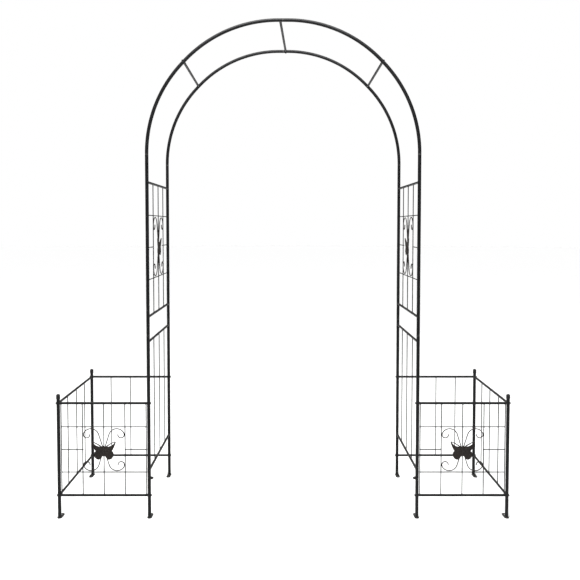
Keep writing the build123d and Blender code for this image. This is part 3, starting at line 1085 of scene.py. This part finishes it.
class ARCH_OT_screws(bpy.types.Operator):
    """Builds the screws of the planter boxes and of the crossbars"""

    bl_idname = "arch.screws"
    bl_label = "Screws"

    def execute(self, context):
        bm = bmesh.new()
        heights = Panel("box_rear_panel_left", False).heights
        for name, side in SIDES:
            for front, _ in FRONTS:
                for part, facing in (("lower_leg", -side), ("post", side)):
                    centre = middle_of(f"{part}_{front}_{name}")
                    for height in heights:
                        seat = Vector((centre.x + facing * tube_radius(), centre.y, height))
                        add_pan_head(bm, seat, Vector((facing, 0, 0)), *BOX_SCREW_HEAD)
        bmesh.ops.remove_doubles(bm, verts=bm.verts, dist=1e-6)
        make_piece(bm, "planter_box_screws", ["box_screws"], screw_finish(context), 32)

        bm = bmesh.new()
        for front_end, rear_end, facing in crossbar_places().values():
            for end in (front_end, rear_end):
                add_pan_head(bm, end + facing * tube_radius(), facing, *BAR_SCREW_HEAD)
        bmesh.ops.remove_doubles(bm, verts=bm.verts, dist=1e-6)
        make_piece(bm, "crossbar_end_screws", ["crossbar_screws"],
                   screw_finish(context), 32)
        return {"FINISHED"}


class ARCH_OT_clamp_nuts(bpy.types.Operator):
    """Builds the washer and domed nut on each front leg"""

    bl_idname = "arch.clamp_nuts"
    bl_label = "Domed nuts"

    def execute(self, context):
        bm = bmesh.new()
        for name, side in SIDES:
            centre = middle_of(f"lower_leg_front_{name}")
            seat = Vector((centre.x - side * tube_radius(), centre.y, CLAMP_HEIGHT))
            outward = Vector((-side, 0, 0))
            add_turned(bm, seat, outward, [
                (0, -0.5 * MM, 0.0), (5.7 * MM, -0.5 * MM, 0.0), (6.05 * MM, 0.0, 0.2),
                (6.25 * MM, 0.3 * MM, 0.6), (6.25 * MM, 1.2 * MM, 0.9), (5.95 * MM, 1.5 * MM, 0.7),
                (4.2 * MM, 1.5 * MM, 0.0), (0, 1.5 * MM, 0.0)], 40)

            def nut(radius, angle):
                return min(hexagon(NUT_HALF_FLATS, angle), radius)

            add_turned(bm, seat, outward, [
                (0, 1.4 * MM, 0.0), (5.1 * MM, 1.4 * MM, 0.2), (5.8 * MM, 1.9 * MM, 0.8),
                (5.8 * MM, 5.6 * MM, 0.8), (5.1 * MM, 6.3 * MM, 0.9), (4.5 * MM, 6.5 * MM, 0.4),
                (4.3 * MM, 6.6 * MM, 0.0), (4.25 * MM, 7.4 * MM, 0.2), (3.9 * MM, 8.5 * MM, 0.3),
                (3.3 * MM, 9.45 * MM, 0.3), (2.4 * MM, 10.2 * MM, 0.4), (1.2 * MM, 10.7 * MM, 0.4),
                (0, 10.8 * MM, 0.4)], 48, nut)
        make_piece(bm, "front_leg_domed_nuts", ["front_leg_clamp_screws"],
                   screw_finish(context), 28)
        return {"FINISHED"}


def cap_profile(radius, tall):
    """The outline of a post cap, from the middle of its underside to the top of its dome."""
    rim = tall - CAP_DOME
    ball = (radius**2 + CAP_DOME**2) / (2 * CAP_DOME)
    profile = [(0, 0.6 * MM, 0.0),
               (tube_radius() - 0.5 * MM, 0.6 * MM, 0.0),
               (tube_radius() + 0.1 * MM, 0.1 * MM, 0.0),
               (radius - 0.35 * MM, 0.0, 0.4),
               (radius - 0.1 * MM, 0.12 * MM, 0.6),
               (radius, 0.4 * MM, 0.5),
               (radius, 1.6 * MM, 0.0),
               (radius - 0.28 * MM, 1.9 * MM, 0.0),
               (radius - 0.28 * MM, rim - 0.9 * MM, 0.0),
               (radius - 0.05 * MM, rim - 0.4 * MM, 0.3),
               (radius - 0.02 * MM, rim, 0.5)]
    widest = asin(min(1.0, radius / ball))
    for i in range(1, 12):
        turn = widest * (1 - i / 12)
        profile.append((ball * sin(turn) - 0.01 * MM, tall - ball * (1 - cos(turn)), 0.2))
    profile.append((0, tall, 0.2))
    return profile


class ARCH_OT_post_caps(bpy.types.Operator):
    """Builds the moulded caps on the posts"""

    bl_idname = "arch.post_caps"
    bl_label = "Post caps"

    def execute(self, context):
        for front, _, name, _ in CORNERS:
            node = f"post_cap_{front}_{name}"
            low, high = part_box(node)
            centre = (low + high) / 2
            bm = bmesh.new()
            add_turned(bm, Vector((centre.x, centre.y, low.z)), Vector((0, 0, 1)),
                       cap_profile((high.x - low.x) / 2, high.z - low.z), 40)
            make_piece(bm, f"moulded_cap_{front}_{name}", [node], cap_plastic(context), 40)
        return {"FINISHED"}


def foot_outline(length, width):
    """Points round a strip with round ends, as (along, across)."""
    half, radius = length / 2, width / 2
    straight = half - radius
    points = []
    for i in range(25):
        turn = -pi / 2 + pi * i / 24
        points.append((straight + radius * cos(turn), radius * sin(turn)))
    for i in range(1, 16):
        points.append((straight - 2 * straight * i / 16, radius))
    for i in range(25):
        turn = pi / 2 + pi * i / 24
        points.append((-straight + radius * cos(turn), radius * sin(turn)))
    for i in range(1, 16):
        points.append((-straight + 2 * straight * i / 16, -radius))
    return points


def add_foot_plate(bm, middle, facing, thick):
    """A foot plate about its middle point. The end under its tube points the way of facing."""

    def spot(along, across, height):
        return Vector((middle.x + across, middle.y - facing * along, height))

    rings, wear = [], []
    for inset, height, worn in (
        (FOOT_EDGE, 0, 0.4),
        (0.15 * FOOT_EDGE, 0.4 * FOOT_EDGE, 0.8),
        (0, FOOT_EDGE, 0.9),
        (0, thick - FOOT_EDGE, 0.9),
        (0.15 * FOOT_EDGE, thick - 0.4 * FOOT_EDGE, 0.9),
        (FOOT_EDGE, thick, 0.8),
        (FOOT_EDGE + 1.2 * MM, thick, 0.0),
    ):
        outline = foot_outline(FOOT_LENGTH - 2 * inset, FOOT_WIDTH - 2 * inset)
        rings.append([spot(a, c, height) for a, c in outline])
        wear.append(worn)
    turns = [atan2(c, a - FOOT_HOLE_ALONG) for a, c in foot_outline(FOOT_LENGTH, FOOT_WIDTH)]
    for widening, height, worn in (
        (1.0 * MM, thick, 0.0),
        (0.35 * MM, thick, 0.7),
        (0.0, thick - 0.35 * MM, 0.6),
        (0.0, 0.35 * MM, 0.2),
        (0.35 * MM, 0, 0.2),
    ):
        reach = FOOT_HOLE_RADIUS + widening
        rings.append([spot(FOOT_HOLE_ALONG + reach * cos(turn), reach * sin(turn), height)
                      for turn in turns])
        wear.append(worn)
    skin(bm, rings, wear, joined=True)


class ARCH_OT_foot_plates(bpy.types.Operator):
    """Builds the foot plates, each with a rounded edge and a hole for a stake"""

    bl_idname = "arch.foot_plates"
    bl_label = "Foot plates"

    def execute(self, context):
        for node, part in (("leg_foot_plates", "lower_leg"), ("post_foot_plates", "post")):
            low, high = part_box(node)
            bm = bmesh.new()
            for front, facing, name, _ in CORNERS:
                end = low.y if facing < 0 else high.y
                middle = Vector((middle_of(f"{part}_{front}_{name}").x,
                                 end - facing * FOOT_LENGTH / 2))
                add_foot_plate(bm, middle, facing, high.z)
            make_piece(bm, f"{part}_feet", [node], tube_paint(context), 30)
        return {"FINISHED"}


# ---------------------------------------------------------------- stage


def make_floor(context):
    """The pale floor."""
    bm = bmesh.new()
    bmesh.ops.create_circle(bm, cap_ends=True, radius=FLOOR_RADIUS, segments=96)
    mesh = bpy.data.meshes.new("studio_floor")
    bm.to_mesh(mesh)
    bm.free()
    floor = bpy.data.objects.new("studio_floor", mesh)
    context.scene.collection.objects.link(floor)
    paint = bpy.data.materials.new("pale_studio_floor")
    paint.use_nodes = True
    shader = next(node for node in paint.node_tree.nodes if node.type == "BSDF_PRINCIPLED")
    shader.inputs["Base Color"].default_value = (*context.scene.arch_stage.floor_colour, 1)
    shader.inputs["Roughness"].default_value = 0.9
    shader.inputs["Specular IOR Level"].default_value = 0.1
    mesh.materials.append(paint)


def make_surround(context):
    """The surround looks white but lights the arch more dimly, and mostly from above, so that
    the black coat keeps its depth."""
    stage = context.scene.arch_stage
    world = bpy.data.worlds.new("white_surround")
    context.scene.world = world
    world.use_nodes = True
    tree = world.node_tree
    seen = next(node for node in tree.nodes if node.type == "BACKGROUND")
    seen.inputs["Color"].default_value = (1, 1, 1, 1)
    seen.inputs["Strength"].default_value = stage.surround_strength
    cast = tree.nodes.new("ShaderNodeBackground")
    cast.inputs["Strength"].default_value = stage.surround_light
    place = tree.nodes.new("ShaderNodeTexCoord")
    parts = tree.nodes.new("ShaderNodeSeparateXYZ")
    tree.links.new(place.outputs["Generated"], parts.inputs["Vector"])
    sky = colour_ramp(tree, [(0.0, 0.10), (0.35, 0.22), (1.0, 1.0)])
    tree.links.new(parts.outputs["Z"], sky.inputs["Fac"])
    tree.links.new(sky.outputs["Color"], cast.inputs["Color"])
    choice = tree.nodes.new("ShaderNodeMixShader")
    path = tree.nodes.new("ShaderNodeLightPath")
    output = next(node for node in tree.nodes if node.type == "OUTPUT_WORLD")
    tree.links.new(path.outputs["Is Camera Ray"], choice.inputs[0])
    tree.links.new(cast.outputs["Background"], choice.inputs[1])
    tree.links.new(seen.outputs["Background"], choice.inputs[2])
    tree.links.new(choice.outputs["Shader"], output.inputs["Surface"])


def add_lamp(context, name, kind, power, place, heading):
    """A lamp at a place that shines along a heading."""
    light = bpy.data.lights.new(name, kind)
    light.energy = power
    lamp = bpy.data.objects.new(name, light)
    context.scene.collection.objects.link(lamp)
    lamp.location = place
    lamp.rotation_euler = heading.to_track_quat("-Z", "Y").to_euler()
    return light


def make_lights(context):
    """The broad light from above and the softboxes."""
    stage = context.scene.arch_stage
    above = add_lamp(context, "overhead_diffuser", "SUN", stage.overhead_strength, (0, 0, 0),
                     Vector((0.35, 0.45, -1)))
    above.angle = radians(55)
    for name, place, aim, size, share in (
        ("key_softbox", (0.0, -1.0, 3.0), (0, 0, 1.9), 1.6, 1.0),
        ("left_softbox", (-3.0, -3.6, 3.4), (0, 0, 1.0), 1.6, 0.045),
        ("right_softbox", (3.6, -2.4, 2.2), (0, 0, 0.9), 1.6, 0.023),
        ("back_softbox", (0.5, 4.0, 3.6), (0, 0, 1.0), 2.2, 0.027),
    ):
        softbox = add_lamp(context, name, "AREA", stage.key_power * share, place,
                           Vector(aim) - Vector(place))
        softbox.size = size


def make_camera(context):
    """The camera in front of the arch."""
    stage = context.scene.arch_stage
    view = bpy.data.cameras.new("camera")
    view.lens = stage.lens
    view.sensor_width = 36
    view.shift_x, view.shift_y = CAMERA_SHIFT
    camera = bpy.data.objects.new("camera", view)
    context.scene.collection.objects.link(camera)
    camera.location = (0, -stage.camera_distance, stage.camera_height)
    camera.rotation_euler = (pi / 2 - stage.camera_tilt, 0, 0)
    context.scene.camera = camera


class ARCH_OT_stage(bpy.types.Operator):
    """Sets the floor, the soft lights and the camera"""

    bl_idname = "arch.stage"
    bl_label = "Stage"

    def execute(self, context):
        make_floor(context)
        make_surround(context)
        make_lights(context)
        make_camera(context)
        context.scene.view_settings.view_transform = "Standard"
        return {"FINISHED"}


# ---------------------------------------------------------------- panel and registration

BUILDERS = (
    ARCH_OT_hoops, ARCH_OT_legs, ARCH_OT_crossbars, ARCH_OT_rails, ARCH_OT_wires,
    ARCH_OT_scrolls, ARCH_OT_butterflies, ARCH_OT_welds, ARCH_OT_screws, ARCH_OT_clamp_nuts,
    ARCH_OT_post_caps, ARCH_OT_foot_plates, ARCH_OT_stage,
)


class ARCH_PT_panel(bpy.types.Panel):
    """Lists the arch's pieces, sizes and colours"""

    bl_idname = "ARCH_PT_panel"
    bl_label = "Garden Arch"
    bl_space_type = "VIEW_3D"
    bl_region_type = "UI"
    bl_category = "Garden Arch"

    def draw(self, context):
        layout = self.layout
        for builder in BUILDERS:
            layout.operator(builder.bl_idname)
        for settings in (context.scene.arch_finish, context.scene.arch_detail,
                         context.scene.arch_stage):
            box = layout.box()
            for name in settings.bl_rna.properties.keys():
                if name not in {"rna_type", "name"}:
                    box.prop(settings, name)


CLASSES = (ArchFinish, ArchDetail, ArchStage, *BUILDERS, ARCH_PT_panel)


def register():
    """Adds the settings, the operators and the panel."""
    for made in CLASSES:
        bpy.utils.register_class(made)
    bpy.types.Scene.arch_finish = PointerProperty(type=ArchFinish)
    bpy.types.Scene.arch_detail = PointerProperty(type=ArchDetail)
    bpy.types.Scene.arch_stage = PointerProperty(type=ArchStage)


def unregister():
    """Takes away what register added."""
    del bpy.types.Scene.arch_stage
    del bpy.types.Scene.arch_detail
    del bpy.types.Scene.arch_finish
    for made in reversed(CLASSES):
        bpy.utils.unregister_class(made)


def main():
    """Builds every piece and the stage."""
    register()
    for builder in BUILDERS:
        group, name = builder.bl_idname.split(".")
        getattr(getattr(bpy.ops, group), name)()


if __name__ == "__main__":
    main()
